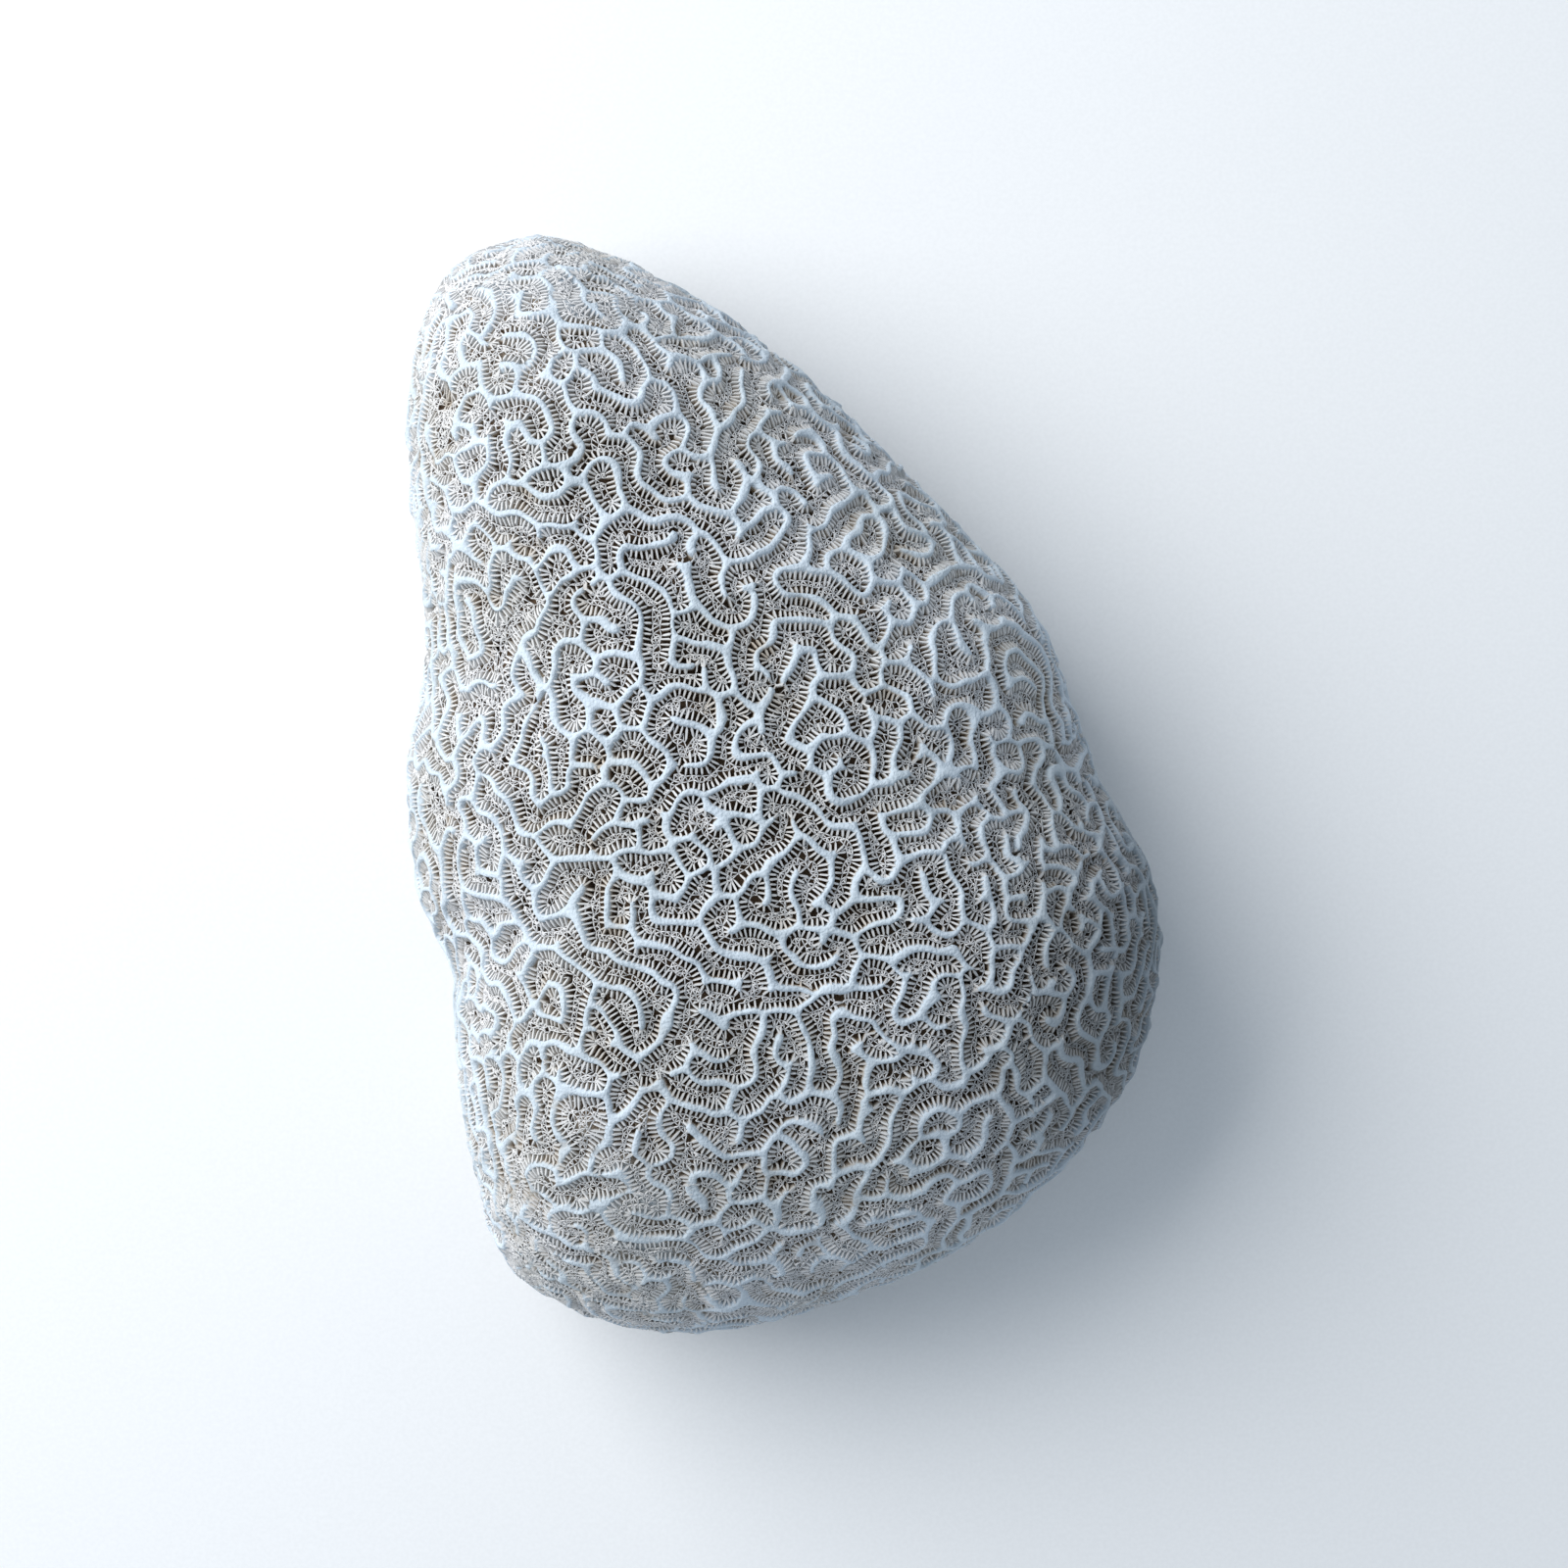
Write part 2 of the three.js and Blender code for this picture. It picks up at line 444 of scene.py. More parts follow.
# %% [markdown]
# ## Level lines
#
# The walls should be meshed along themselves, with rows of points that follow each crest and flank.
# Those rows are level lines of a field on the chart. The classic method, marching squares, finds
# where each grid cell's edges cross the level; here it runs on all cells at once. Every crossing
# then knows only the crossing that follows it, and pointer jumping, which doubles the length of
# every link each round, puts a whole closed line in order in a few rounds.


# %% Marching squares
def crossings(field, level):
    """Crossings of a level with the grid's edges, as chart points, and for each one the crossing
    that follows it with the higher side on its left. Going round a cell, a line starts where the
    corners go from high to low and ends at the nearest change back, looking backwards."""
    high = field > level
    width = field.shape[1]
    number = np.arange(field.size).reshape(field.shape)
    sideways, upwards = number, number + field.size
    corners = [high[:-1, :-1], high[1:, :-1], high[1:, 1:], high[:-1, 1:]]
    edges = [sideways[:-1, :-1], upwards[1:, :-1], sideways[:-1, 1:], upwards[:-1, :-1]]
    starts, ends = [], []
    for k in range(4):
        leaves = corners[k] & ~corners[(k + 1) % 4]
        back = [(k - j) % 4 for j in (1, 2, 3)]
        returns = [(~corners[j] & corners[(j + 1) % 4])[leaves] for j in back]
        starts.append(edges[k][leaves])
        ends.append(np.select(returns, [edges[j][leaves] for j in back]))
    starts, ends = np.concatenate(starts), np.concatenate(ends)
    order = np.argsort(starts)
    starts, ends = starts[order], ends[order]
    here = starts % field.size
    other = np.where(starts < field.size, here + width, here + 1)
    values = field.ravel()
    share = (level - values[here]) / (values[other] - values[here])
    spots = fine.chart.reshape(-1, 2)
    return spots[here] + share[:, None] * (spots[other] - spots[here]), np.searchsorted(starts, ends)


# %% Putting closed lines in order
def in_order(follows):
    """Order that walks every closed line in turn, and each point's line. A line is named after its
    lowest point, and a point's place is how many links lead from it to that point."""
    count = len(follows)
    rounds = int(np.ceil(np.log2(count))) + 1
    name, jump = np.arange(count), follows.copy()
    for _ in range(rounds):
        name = np.minimum(name, name[jump])
        jump = jump[jump]
    head = name == np.arange(count)
    left = np.where(head, 0, 1)
    jump = np.where(head, np.arange(count), follows)
    for _ in range(rounds):
        left = left + left[jump]
        jump = jump[jump]
    left[head] = count
    order = np.lexsort((-left, name))
    return order, name[order]


# %% Even steps along closed lines
SHORTEST_LINE = 1.6
FEWEST_STEPS = 4


def even_lines(field, level, step):
    """Points at even real distances along every closed line of a level. Returns the chart points,
    and for each the index of the next point of its line."""
    spots, follows = crossings(field, level)
    order, name = in_order(follows)
    spots = spots[order]
    firsts = np.flatnonzero(np.r_[True, name[1:] != name[:-1]])
    sizes = np.diff(np.r_[firsts, len(spots)])
    closed = np.insert(spots, firsts + sizes, spots[firsts], axis=0)
    firsts = firsts + np.arange(len(firsts))
    hops = np.linalg.norm(np.diff(place(closed), axis=0), axis=1)
    # the hop from one line to the next isn't walked, but it keeps the walked length rising
    gaps = firsts[1:] - 1
    hops[gaps] = 1.0
    travelled = np.r_[0.0, np.cumsum(hops)]
    lengths = travelled[firsts + sizes] - travelled[firsts]
    keep = lengths > SHORTEST_LINE
    firsts, lengths = firsts[keep], lengths[keep]
    counts = np.maximum(np.round(lengths / step).astype(int), FEWEST_STEPS)
    line = np.repeat(np.arange(len(counts)), counts)
    line_start = np.repeat(np.cumsum(counts) - counts, counts)
    along = (np.arange(len(line)) - line_start) / counts[line] * lengths[line]
    target = travelled[firsts][line] + along
    chart = np.stack([np.interp(target, travelled, closed[:, k]) for k in (0, 1)], -1)
    following = np.arange(len(line)) + 1
    line_end = line_start + counts[line]
    return chart, np.where(following == line_end, line_start, following)


# %% [markdown]
# ## Axes of walls and valleys
#
# The maze field is steep in some places and flat in others, and it bulges where walls meet, so a
# level of it would make walls of every width. Real walls are nearly as wide at a junction as between
# two. So each wall is built round its own axis: the line of points that have two different nearest
# places on the wall's edge. Jump flooding finds the nearest edge place of every grid point: each
# point asks its neighbours 16 cells away what is nearest to them, then those 8 cells away, and so
# on. An axis passes wherever two neighbouring grid points answer with places far from each other.
# Bumps on the edge leave stubs of axis that hang on to nothing, and the shortest are dropped.

# %% Jump flooding
FLOOD_STEPS = (16, 8, 4, 2, 1, 1)
FAR_AWAY = 1e3
NEIGHBOURS = [(u, v) for u in (-1, 0, 1) for v in (-1, 0, 1) if u or v]


def nearest(spots):
    """For every fine grid point, which of some chart spots is nearest on the skin, and how far."""
    places = place(spots).astype(np.float32)
    ground = fine.points.astype(np.float32)
    owner = np.full(ground.shape[:2], -1)
    i, j = fine.cell_of(spots)
    owner[i, j] = np.arange(len(spots))
    gap = np.where(owner < 0, FAR_AWAY**2, ((places[owner] - ground)**2).sum(-1))
    for step in FLOOD_STEPS:
        for u, v in NEIGHBOURS:
            asked = np.roll(owner, (step * u, step * v), (0, 1))
            far = np.where(asked < 0, FAR_AWAY**2, ((places[asked] - ground)**2).sum(-1))
            closer = far < gap
            owner, gap = np.where(closer, asked, owner), np.where(closer, far, gap)
    return owner, np.sqrt(gap)


# %% Axes
OPPOSITE = 1.35
LEAST_APART = 0.9
# stubs are patches within this reach of an axis whose area in mm2 is below the smallest
STUB_REACH = 0.6
SMALLEST_STUB = 7.0

edge_spots, _ = crossings(maze, 0.0)
edge_places = place(edge_spots)
edge_owner, edge_gap = nearest(edge_spots)


def axis_spots(side):
    """Chart points where an axis crosses the grid's edges, on one side of the maze's edge. There
    the two ends have nearest places far apart, by at least LEAST_APART and by OPPOSITE times their
    distance, and the axis passes where both places are equally far."""
    found = []
    for near, far in ((np.s_[:-1], np.s_[1:]), (np.s_[:, :-1], np.s_[:, 1:])):
        first, second = edge_places[edge_owner[near]], edge_places[edge_owner[far]]
        apart = np.linalg.norm(second - first, axis=-1)
        widest = np.maximum(edge_gap[near], edge_gap[far])
        crossed = side[near] & side[far] & (apart > np.maximum(OPPOSITE * widest, LEAST_APART))
        first, second = first[crossed], second[crossed]
        start, end = fine.points[near][crossed], fine.points[far][crossed]
        excess = ((start - second)**2).sum(-1) - ((start - first)**2).sum(-1)
        share = excess / (2 * ((end - start) * (second - first)).sum(-1))
        share = np.clip(share, 0, 1)[:, None]
        found.append((1 - share) * fine.chart[near][crossed] + share * fine.chart[far][crossed])
    return np.concatenate(found)


wall_axis = axis_spots(maze > 0)
valley_axis = axis_spots(maze < 0)
_, from_wall = nearest(wall_axis)
stub = small_patches(from_wall < STUB_REACH, fine, SMALLEST_STUB)
i, j = fine.cell_of(wall_axis)
wall_axis = wall_axis[~stub[i, j]]
_, from_wall = nearest(wall_axis)
_, from_valley = nearest(valley_axis)
print(len(wall_axis), "places on wall axes,", len(valley_axis), "on valley axes")

# %% [markdown]
# ## Width and phase
#
# Two fields now say where anything belongs. The distance off a wall's axis gives walls of one
# width, and the phase, which goes from 0 on a wall's axis to 1 on a valley's axis, says how far
# across a valley a point is, however wide the valley. Distance alone would leave sharp inner
# corners where walls meet. Holding it below a fixed multiple of the phase rounds them, as growth
# does. Then it wanders a little, so that walls thicken, thin out and fray like real ones, and on
# the shoulder lobe they are slimmer.

# %% Width and phase
SOFTEN = 0.02
WIDEST_VALLEY = 2.3
WIDTH_SIZE = 6.0
WIDTH_SWAY = 0.15
FRAY_SIZE = 1.5
FRAY = 0.045
# the spacing is measured on the flanks: phases this close to half way
HALF_BAND = 0.15

phase = from_wall / (from_wall + from_valley)
phase = fine_blur.blur(phase.astype(np.float32), SOFTEN)
off_axis = fine_blur.blur(from_wall.astype(np.float32), SOFTEN)
off_axis = np.minimum(off_axis, WIDEST_VALLEY * phase)
off_axis = off_axis * (1 + WIDTH_SWAY * wander(fine.points, WIDTH_SIZE, 31))
off_axis = off_axis * np.sqrt(finer(fine.points))
off_axis = off_axis + FRAY * wander(fine.points, FRAY_SIZE, 32)
phase = np.where(beyond_rim > -fine.pitch, 1.0, phase)
off_axis = np.where(beyond_rim > -fine.pitch, WALL_SPACING / 2, off_axis)
ribbed = fine.points[..., 2] > 0
cell_area = fine.spread * fine.pitch**2
band = ribbed & (np.abs(phase - 0.5) < HALF_BAND)
ribbed_area = cell_area[ribbed].sum()
edge_length = (fine.steepness(phase) * cell_area)[band].sum() / (2 * HALF_BAND)
print("ribbed skin", (ribbed_area / 100).round(1), "cm2, wall spacing",
      (2 * ribbed_area / edge_length).round(2), "mm")

# %% [markdown]
# ## Wear
#
# Where a colony has rubbed on other stones its crests are ground down, the slots are choked with
# rubble, and walls, septa and columella end at nearly one level. Here that happens at the thumb's
# tip, at the foot and along the left edge. It could be sculpted, but then every plate and thread
# would have to follow by hand. Instead all of them ask one function for their depth. Wear takes
# part of every depth away and adds the same small depth to all, so that the relief gets shallow
# and the crests sink a little. The whole skin also rolls gently up and down, as grown skins do.

# %% Wear
# middle of a worn place, its reach and how far it has gone
WORN_PLACES = [
    ((-38, 78), 21, 1.0), ((-28, -74), 24, 1.1), ((-60, 34), 15, 0.6), ((12, -80), 16, 0.9)]
WEAR_SIZE = 11.0
WEAR_SWAY = 0.35
RELIEF_LOST = 0.75
CREST_LOST = 0.22
# crests crumble: points less deep than CREST_ZONE, and most where the wandering is high
CRUMBLE_SIZE = 2.4
CRUMBLE = 0.25
BITTEN = 0.5
CREST_ZONE = 1.0
ROLL_SIZE = 7.0
ROLL = 0.2

wear = sum(most * np.exp(-((fine.points[..., 0] - x)**2 + (fine.points[..., 1] - y)**2) / reach**2)
           for (x, y), reach, most in WORN_PLACES)
wear = np.clip(wear * (1 + WEAR_SWAY * wander(fine.points, WEAR_SIZE, 41)), 0, 1)


def rolled(chart, depth):
    """A depth at chart points, on a skin that rolls gently up and down."""
    return depth + ROLL * wander(place(chart), ROLL_SIZE, 43)


def worn(chart, depth):
    """A depth at chart points, after wear, on the rolling skin."""
    share = fine.read(wear, chart)
    return rolled(chart, depth * (1 - RELIEF_LOST * share) + CREST_LOST * share)


def crumbled(chart, depth):
    """A wall's depth at chart points, after wear and with bites out of the crests."""
    bite = np.clip(BITTEN + wander(place(chart), CRUMBLE_SIZE, 42), 0, None)
    return worn(chart, depth) + CRUMBLE * fine.read(wear, chart) * bite * (depth < CREST_ZONE)


print("worn skin", (100 * (wear > 0.5)[ribbed].mean()).round(), "percent")

# %% [markdown]
# ## Walls
#
# A wall is a rounded ridge with steep flanks and a valley floor beside it. A plain grid would need
# millions of faces to keep the flanks crisp. Instead one short profile is carried along the walls:
# each row of it keeps one distance from the wall's axis and is sunk below the skin by that row's
# depth. A Delaunay triangulation that is bound to keep the rows joins them into one skin. Each
# point also carries its depth as a mark, which the finishes read later.

# %% The profile across a wall
# distance from the wall's axis, depth below the crests, step between points along the row
WALL_PROFILE = [
    (0.23, 0.00, 0.95),
    (0.38, 0.12, 0.82),
    (0.49, 0.62, 0.86),
    (0.64, 2.50, 1.05)]
# the same for the valley floor, by phase
FLOOR_PROFILE = [(0.86, 2.40, 1.35)]
VALLEY_DEPTH = 2.7
RIM_STEPS = 480

rows, links, row_depth = [], [], []
total = 0
for field, profile in ((off_axis, WALL_PROFILE), (phase, FLOOR_PROFILE)):
    for level, depth, step in profile:
        chart, following = even_lines(field, level, step)
        rows.append(chart)
        links.append(np.stack([np.arange(len(chart)), following], -1) + total)
        row_depth.append(np.full(len(chart), depth))
        total += len(chart)
        print("row at", level, "has", len(chart), "points")
rim_compass = np.arange(RIM_STEPS) / RIM_STEPS * TURN
rows.append(rim_walk(rim_compass)[:, None]
            * np.stack([np.cos(rim_compass), np.sin(rim_compass)], -1))
row_depth.append(np.full(RIM_STEPS, VALLEY_DEPTH))
rows, links, row_depth = (np.concatenate(part) for part in (rows, links, row_depth))

# %% Joining the rows
SAME_PLACE = 1e-4
corners, _, faces, sources, _, _ = delaunay_2d_cdt(
    rows.tolist(), links.tolist(), [], 0, SAME_PLACE)
corners = np.array([tuple(corner) for corner in corners])
source = np.array([came_from[0] if came_from else -1 for came_from in sources])
new = source < 0
by_level = np.array(WALL_PROFILE)
new_depth = np.interp(fine.read(off_axis, corners), by_level[:, 0], by_level[:, 1])
wall_depth = np.where(new, new_depth, row_depth[source])
wall_faces = np.array(faces)
print("walls:", len(corners), "points,", len(wall_faces), "faces,", new.sum(), "added at crossings")

# %% Meshes from arrays
def make_piece(name, points, faces, marks=None, smooth=True):
    """Mesh object at the origin from points in millimetres and a face array; marks are named
    numbers, one for each point."""
    mesh = bpy.data.meshes.new(name)
    mesh.vertices.add(len(points))
    mesh.vertices.foreach_set("co", (points * MM).astype(np.float32).ravel())
    sides = faces.shape[1]
    mesh.loops.add(faces.size)
    mesh.loops.foreach_set("vertex_index", faces.astype(np.int32).ravel())
    mesh.polygons.add(len(faces))
    mesh.polygons.foreach_set("loop_start", np.arange(0, faces.size, sides, dtype=np.int32))
    mesh.polygons.foreach_set("use_smooth", np.full(len(faces), smooth))
    for mark, values in (marks or {}).items():
        layer = mesh.attributes.new(mark, "FLOAT", "POINT")
        layer.data.foreach_set("value", values.astype(np.float32))
    mesh.update(calc_edges=True)
    mesh.validate()
    piece = bpy.data.objects.new(name, mesh)
    bpy.context.collection.objects.link(piece)
    return piece


def sink(chart, depth):
    """Skin point moved straight in along the skin's normal by a depth."""
    normal = fine.read(fine.normals, chart)
    normal /= np.linalg.norm(normal, axis=-1, keepdims=True)
    return place(chart) - depth[..., None] * normal


# no point may lie almost on the saw cut, or the cut would make faces without area
CUT_MARGIN = 0.02
wall_depth = crumbled(corners, wall_depth)
wall_points = sink(corners, wall_depth)
wall_points[np.abs(wall_points[:, 2]) < CUT_MARGIN, 2] = CUT_MARGIN
walls = make_piece("walls", wall_points, wall_faces, {"depth": wall_depth / VALLEY_DEPTH})

# %% [markdown]
# ## The saw cut
#
# The colony was sawn off its rock, so its underside is one flat face whose edge runs in and out of
# the valleys. A boolean with a box could make it, but a plain bisection is quicker and leaves the
# mesh above untouched. The open rim is then filled, and the new faces get their own finish.

# %% The saw cut
SAWN = 1
ON_THE_CUT = 1e-7


def saw_flat(piece):
    """Cuts everything below z = 0 off a mesh, and closes the cut with faces in slot SAWN."""
    sheet = bmesh.new()
    sheet.from_mesh(piece.data)
    everything = sheet.verts[:] + sheet.edges[:] + sheet.faces[:]
    bmesh.ops.bisect_plane(sheet, geom=everything, dist=ON_THE_CUT, plane_co=(0, 0, 0),
                           plane_no=(0, 0, 1), clear_inner=True)
    rim = [edge for edge in sheet.edges if edge.is_boundary]
    filled = bmesh.ops.triangle_fill(sheet, use_beauty=True, edges=rim, normal=(0, 0, -1))
    caps = [item for item in filled["geom"] if isinstance(item, bmesh.types.BMFace)]
    for cap in caps:
        cap.material_index = SAWN
        cap.smooth = False
        if cap.normal.z > 0:
            cap.normal_flip()
    bmesh.ops.triangulate(sheet, faces=[face for face in sheet.faces if len(face.verts) > 3])
    for edge in rim:
        edge.smooth = False
    open_edges = sum(not edge.is_manifold for edge in sheet.edges)
    sheet.to_mesh(piece.data)
    sheet.free()
    return len(caps), open_edges


cap_count, open_edges = saw_flat(walls)
print("saw cut closed with", cap_count, "faces,", open_edges, "open edges,",
      len(walls.data.polygons), "faces in all")

# %% [markdown]
# ## Septa
#
# Septa are thin upright plates that stand on both sides of every wall and run straight down into
# the valley. One plate could be modelled and scattered, but each has to bend with its own bit of
# wall. Straight down means along the slope of the phase, so each plate can find its own way: a row
# of seeds is set at even steps along the foot of the walls, and every seed walks up the slope into
# the wall and down it towards the middle of the valley. Round a valley's end the plates then fan in
# to a point by themselves. A plate is a strip of four stations: the first and last are sharp edges
# and the two between are rings of four points, so it is closed with 20 triangles. Below the rim it
# goes on until its foot meets the saw cut, and what would stick out is pressed up to the cut.

# %% Walking along the slope
phase_a, phase_b = fine.slopes(phase)
outward = np.stack([fine.G * phase_a - fine.F * phase_b, fine.E * phase_b - fine.F * phase_a], -1)
SLOPE_HOPS = 5
HOP_SHARE = 0.7
LONGEST_HOP = 0.5
NO_SLOPE = 1e-9


def walk_to(chart, target):
    """Moves chart points along the slope until their phase is the target: each hop goes the way
    of the stretched gradient by a share of the missing phase times half a wall spacing."""
    for _ in range(SLOPE_HOPS):
        way = fine.read(outward, chart)
        e, f, g = (fine.read(part, chart) for part in (fine.E, fine.F, fine.G))
        length = np.sqrt(e * way[:, 0]**2 + 2 * f * way[:, 0] * way[:, 1] + g * way[:, 1]**2)
        missing = (target - fine.read(phase, chart)) * WALL_SPACING / 2
        hop = np.clip(HOP_SHARE * missing, -LONGEST_HOP, LONGEST_HOP) / np.maximum(length, NO_SLOPE)
        chart = chart + way * hop[:, None]
    return chart


# %% Septum seeds
SEPTUM_SPACING = 0.75
SEED_REACH = 0.86
FOOT_DEPTH = 2.55
CUT_CLEARANCE = 0.2
# septa come in two lengths, by the phase that their inner ends reach
LONG_SHARE = 0.62
LONG_REACH = (0.78, 0.88)
SHORT_REACH = (0.70, 0.80)

seeds, _ = even_lines(off_axis, SEED_REACH, SEPTUM_SPACING)
seeds = seeds[sink(seeds, np.full(len(seeds), FOOT_DEPTH))[:, 2] > CUT_CLEARANCE]
count = len(seeds)
rng = np.random.default_rng(SEED + 1)
long_ones = rng.uniform(size=count) < LONG_SHARE
inner_phase = np.where(long_ones, rng.uniform(*LONG_REACH, count), rng.uniform(*SHORT_REACH, count))
print(count, "seeds of septa")

# %% Septum stations
# phase inside the wall where a plate starts
WALL_STATION = 0.12
# share of the way in, depth of the top edge, half thickness at the top and at the foot
STATIONS = np.array([
    (0.00, 0.14, 0.0, 0.0),
    (0.28, 0.34, 0.145, 0.19),
    (0.78, 0.66, 0.115, 0.18),
    (1.00, 0.92, 0.0, 0.0)])
WAY_IN, TOP_DEPTH, TOP_HALF, FOOT_HALF = STATIONS.T


def unit(vectors):
    """Vectors of length 1 with the same directions."""
    return vectors / np.maximum(np.linalg.norm(vectors, axis=-1, keepdims=True), NO_SLOPE)


route = seeds
stops = []
for share in WAY_IN:
    route = walk_to(route, WALL_STATION + share * (inner_phase - WALL_STATION))
    stops.append(route)
stops = np.stack(stops, 1)
tread = place(stops)
up = unit(fine.read(fine.normals, stops.reshape(-1, 2)).reshape(tread.shape))
heading = unit(np.gradient(tread, axis=1))
side = unit(np.cross(up, heading))
print("septum length", np.linalg.norm(tread[:, -1] - tread[:, 0], axis=-1).mean().round(2), "mm")

# %% Septum plates
TOP_JITTER = 0.09
THICKNESS_RANGE = (0.8, 1.25)
SIDE_SWAY = 0.07
# plates whose highest point is lower than this aren't made
LEAST_STANDING = 0.5
# how far above the saw cut the lowest points of plates and threads end
SAW_GAP = 0.02

top_depth = TOP_DEPTH + rng.normal(0, TOP_JITTER, (count, len(STATIONS)))
top_half = TOP_HALF * rng.uniform(*THICKNESS_RANGE, (count, 1))
foot_half = FOOT_HALF * rng.uniform(*THICKNESS_RANGE, (count, 1))
sway = rng.normal(0, SIDE_SWAY, (count, len(STATIONS))) * np.linspace(0, 1, len(STATIONS))
tread = tread + sway[..., None] * side
top_depth = worn(stops.reshape(-1, 2), top_depth.ravel()).reshape(top_depth.shape)
crest = tread - top_depth[..., None] * up
foot_depth = rolled(stops.reshape(-1, 2), FOOT_DEPTH).reshape(top_depth.shape)
foot = tread - foot_depth[..., None] * up
highest = np.maximum(crest[..., 2], foot[..., 2]).max(1)
standing = np.flatnonzero(highest > LEAST_STANDING)
print(len(standing), "of the septa are made")


# %% Points and faces of a plate
def plate_points(pick):
    """The 12 points of each plate: a top and a foot point at both sharp ends, and between them
    rings of four, in the order top left, top right, foot right, foot left. What would stick out
    below the saw cut is pressed up to it."""
    top, low, across = crest[pick], foot[pick], side[pick]
    rings = [np.stack([top[:, k] + across[:, k] * top_half[pick, k, None],
                       top[:, k] - across[:, k] * top_half[pick, k, None],
                       low[:, k] - across[:, k] * foot_half[pick, k, None],
                       low[:, k] + across[:, k] * foot_half[pick, k, None]], 1)
             for k in range(1, len(STATIONS) - 1)]
    first = np.stack([top[:, 0], low[:, 0]], 1)
    last = np.stack([top[:, -1], low[:, -1]], 1)
    points = np.concatenate([first, *rings, last], 1)
    points[..., 2] = np.maximum(points[..., 2], SAW_GAP)
    return points


def plate_faces():
    """Triangles of one plate, facing out. Points 0 and 1 are the first edge, 2 to 5 and 6 to 9 the
    two rings, and 10 and 11 the last edge."""
    near, far = (2, 3, 4, 5), (6, 7, 8, 9)
    threes = [(0, 2, 3), (1, 4, 5), (10, 7, 6), (11, 9, 8)]
    quads = [(0, 3, 4, 1), (0, 1, 5, 2), (7, 10, 11, 8), (6, 9, 11, 10)]
    quads += [(near[j], far[j], far[(j + 1) % 4], near[(j + 1) % 4]) for j in range(4)]
    return np.array(threes + [half for a, b, c, d in quads for half in ((a, b, c), (a, c, d))])


def join_copies(points, faces):
    """Faces of many copies of one shape: each copy's point numbers are moved up by its place."""
    steps = np.arange(len(points))[:, None, None] * points.shape[1]
    return points.reshape(-1, 3), (faces[None] + steps).reshape(-1, 3)


# %% Three pieces of septa
# which of a plate's 12 points are at its foot
AT_THE_FOOT = np.array([0, 1, 0, 0, 1, 1, 0, 0, 1, 1, 0, 1], bool)
septa = []
for offset, name in enumerate(["septa_first", "septa_second", "septa_third"]):
    pick = standing[offset::3]
    points, faces = join_copies(plate_points(pick), plate_faces())
    tops = top_depth[pick].mean(1, keepdims=True)
    depth = np.where(AT_THE_FOOT, FOOT_DEPTH, tops).ravel() / VALLEY_DEPTH
    septa.append(make_piece(name, points, faces, {"depth": depth}, smooth=False))
    print(name, len(pick), "plates,", len(faces), "faces")

# %% [markdown]
# ## Columella
#
# The columella is a loose sponge of fine threads along the middle of each valley, which ties the
# inner ends of the septa together. It could be a bumpy strip, but then its pores would be painted
# and not open. So it is a net: knots are scattered over the middle of the valleys and over any floor
# that the septa leave bare, a Delaunay triangulation joins each knot and each septum's end to its
# neighbours, and most of those edges become thin three-sided rods at changing depths.

# %% Where knots may be
MIDDLE_PHASE = 0.83
MIDDLE_DEPTH = 1.0
# bare floor is this far from every septum and from the wall's axis
BARE_REACH = 0.49
BARE_FROM_WALL = 0.68

rng = np.random.default_rng(SEED + 2)
_, from_septum = nearest(stops[:, 1:].reshape(-1, 2))
open_floor = (from_septum > BARE_REACH) & (off_axis > BARE_FROM_WALL)
centre = (phase > MIDDLE_PHASE) | open_floor
knot_level = fine.points - MIDDLE_DEPTH * fine.normals
centre &= (knot_level[..., 2] > CUT_CLEARANCE) & (beyond_rim < 0)
middle = fine.chart[centre]
middle = middle + rng.uniform(-0.5, 0.5, middle.shape) * fine.pitch
middle = rng.permutation(middle)
print(len(middle), "places for knots")

# %% Knots of the columella
KNOT_SPACING = 0.56
KNOT_JITTER = 0.25
# a septum's own knot lies this much below its top edge
UNDER_THE_TOP = 0.05


def thin_out(points, size, shift):
    """Which points are the first in their cube, when space is cut in cubes of one size."""
    cubes = np.floor(points / size + shift).astype(int)
    _, firsts = np.unique(cubes, axis=0, return_index=True)
    kept = np.zeros(len(points), bool)
    kept[firsts] = True
    return kept


taken = tread[:, -1]
for shift in (0.0, 0.5):
    both = np.concatenate([taken, place(middle)])
    middle = middle[thin_out(both, KNOT_SPACING, shift)[len(taken):]]
middle_points = place(middle)
middle_up = unit(fine.read(fine.normals, middle))
middle_depth = rng.uniform(MIDDLE_DEPTH - KNOT_JITTER, MIDDLE_DEPTH + KNOT_JITTER, len(middle))
middle_depth = worn(middle, middle_depth)
knots = np.concatenate([stops[:, -1], middle])
knot_depth = np.concatenate([top_depth[:, -1] + UNDER_THE_TOP, middle_depth])
knot_up = np.concatenate([up[:, -1], middle_up])
knot_points = np.concatenate([tread[:, -1], middle_points]) - knot_depth[:, None] * knot_up
print(len(knots), "knots")

# %% Which knots are tied together
SAME_KNOT = 1e-6
SHORTEST_THREAD = 0.15
LONGEST_THREAD = 1.40
# the share of the net's edges that become threads
SPARED = 0.86

